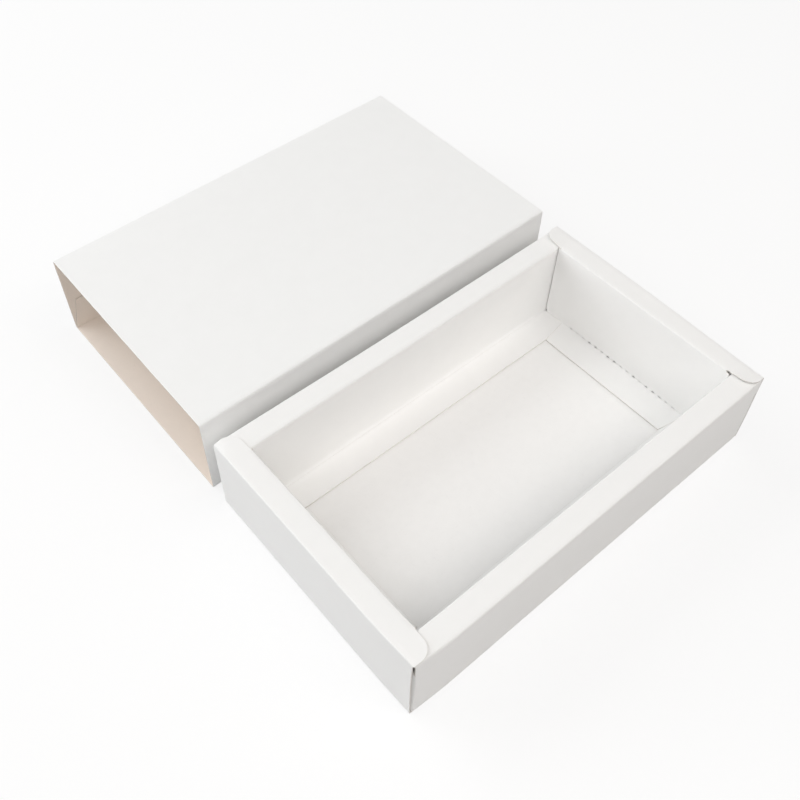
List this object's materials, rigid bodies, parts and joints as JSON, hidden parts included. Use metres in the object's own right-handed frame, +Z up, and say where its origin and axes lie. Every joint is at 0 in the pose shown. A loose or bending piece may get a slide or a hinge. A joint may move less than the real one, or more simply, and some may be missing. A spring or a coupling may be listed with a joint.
{
  "type": "drawer gift box",
  "caption": "White folding-board drawer box: a sleeve open at both ends, and beside it the open tray with hollow rolled-over walls, eared rims and floor flaps.",
  "frame": {"origin": "middle of the sleeve and tray together, on the table they stand on", "axes": "+X along the box, the way the drawer is pushed in; +Y across it, from the tray to the sleeve; +Z up"},
  "size_m": [0.2, 0.254, 0.047],
  "materials": {
    "sleeve_board": "matt white folding board",
    "tray_board": "matt white folding board"
  },
  "bodies": {
    "sleeve_floor": {"sleeve_base_panel": "sleeve_board"},
    "sleeve_near_side": {"sleeve_near_wall": "sleeve_board"},
    "sleeve_roof": {"sleeve_top_panel": "sleeve_board"},
    "sleeve_far_side": {"sleeve_far_wall": "sleeve_board", "sleeve_glue_flap": "sleeve_board"},
    "tray": {"tray_base": "tray_board", "near_outer_wall": "tray_board", "near_rim": "tray_board", "near_inner_wall": "tray_board", "near_floor_flap": "tray_board", "near_left_tab": "tray_board", "near_right_tab": "tray_board", "far_outer_wall": "tray_board", "far_rim": "tray_board", "far_inner_wall": "tray_board", "far_floor_flap": "tray_board", "far_left_tab": "tray_board", "far_right_tab": "tray_board"},
    "left_wall": {"left_end_outer_wall": "tray_board"},
    "left_rim": {"left_end_rim": "tray_board"},
    "left_lining": {"left_end_inner_wall": "tray_board"},
    "left_flap": {"left_end_floor_flap": "tray_board"},
    "right_wall": {"right_end_outer_wall": "tray_board"},
    "right_rim": {"right_end_rim": "tray_board"},
    "right_lining": {"right_end_inner_wall": "tray_board"},
    "right_flap": {"right_end_floor_flap": "tray_board"}
  },
  "joints": [
    {"name": "sleeve_near_crease", "type": "hinge", "parent": "sleeve_floor", "child": "sleeve_near_side", "pos_m": [0, 0.0046, 0.0006], "axis": [-1, 0, 0], "range_deg": [0, 85]},
    {"name": "sleeve_top_crease", "type": "hinge", "parent": "sleeve_near_side", "child": "sleeve_roof", "pos_m": [0, 0.00418, 0.04682], "axis": [-1, 0, 0], "range_deg": [-85, 0]},
    {"name": "sleeve_far_crease", "type": "hinge", "parent": "sleeve_roof", "child": "sleeve_far_side", "pos_m": [0, 0.1264, 0.0464], "axis": [-1, 0, 0], "range_deg": [0, 85]},
    {"name": "tray_slide", "type": "slide", "parent": "sleeve_floor", "child": "tray", "axis": [-1, 0, 0], "range_m": [0, 0.2]},
    {"name": "left_base_crease", "type": "hinge", "parent": "tray", "child": "left_wall", "pos_m": [-0.09982, -0.0665, 0.00018], "axis": [0, -1, 0], "range_deg": [0, 90]},
    {"name": "left_rim_crease", "type": "hinge", "parent": "left_wall", "child": "left_rim", "pos_m": [-0.09982, -0.0665, 0.04482], "axis": [0, -1, 0], "range_deg": [0, 90]},
    {"name": "left_lining_crease", "type": "hinge", "parent": "left_rim", "child": "left_lining", "pos_m": [-0.08918, -0.0665, 0.04482], "axis": [0, -1, 0], "range_deg": [0, 90]},
    {"name": "left_flap_crease", "type": "hinge", "parent": "left_lining", "child": "left_flap", "pos_m": [-0.08942, -0.0665, 0.00078], "axis": [0, -1, 0], "range_deg": [-90, 0]},
    {"name": "right_base_crease", "type": "hinge", "parent": "tray", "child": "right_wall", "pos_m": [0.09982, -0.0665, 0.00018], "axis": [0, 1, 0], "range_deg": [0, 90]},
    {"name": "right_rim_crease", "type": "hinge", "parent": "right_wall", "child": "right_rim", "pos_m": [0.09982, -0.0665, 0.04482], "axis": [0, 1, 0], "range_deg": [0, 90]},
    {"name": "right_lining_crease", "type": "hinge", "parent": "right_rim", "child": "right_lining", "pos_m": [0.08918, -0.0665, 0.04482], "axis": [0, 1, 0], "range_deg": [0, 90]},
    {"name": "right_flap_crease", "type": "hinge", "parent": "right_lining", "child": "right_flap", "pos_m": [0.08942, -0.0665, 0.00078], "axis": [0, 1, 0], "range_deg": [-90, 0]}
  ],
  "couplings": [
    {"joint": "sleeve_top_crease", "follows": "sleeve_near_crease", "ratio": -1},
    {"joint": "sleeve_far_crease", "follows": "sleeve_near_crease", "ratio": 1},
    {"joint": "left_rim_crease", "follows": "left_base_crease", "ratio": 1},
    {"joint": "left_lining_crease", "follows": "left_base_crease", "ratio": 1},
    {"joint": "left_flap_crease", "follows": "left_base_crease", "ratio": -1},
    {"joint": "right_rim_crease", "follows": "right_base_crease", "ratio": 1},
    {"joint": "right_lining_crease", "follows": "right_base_crease", "ratio": 1},
    {"joint": "right_flap_crease", "follows": "right_base_crease", "ratio": -1}
  ]
}
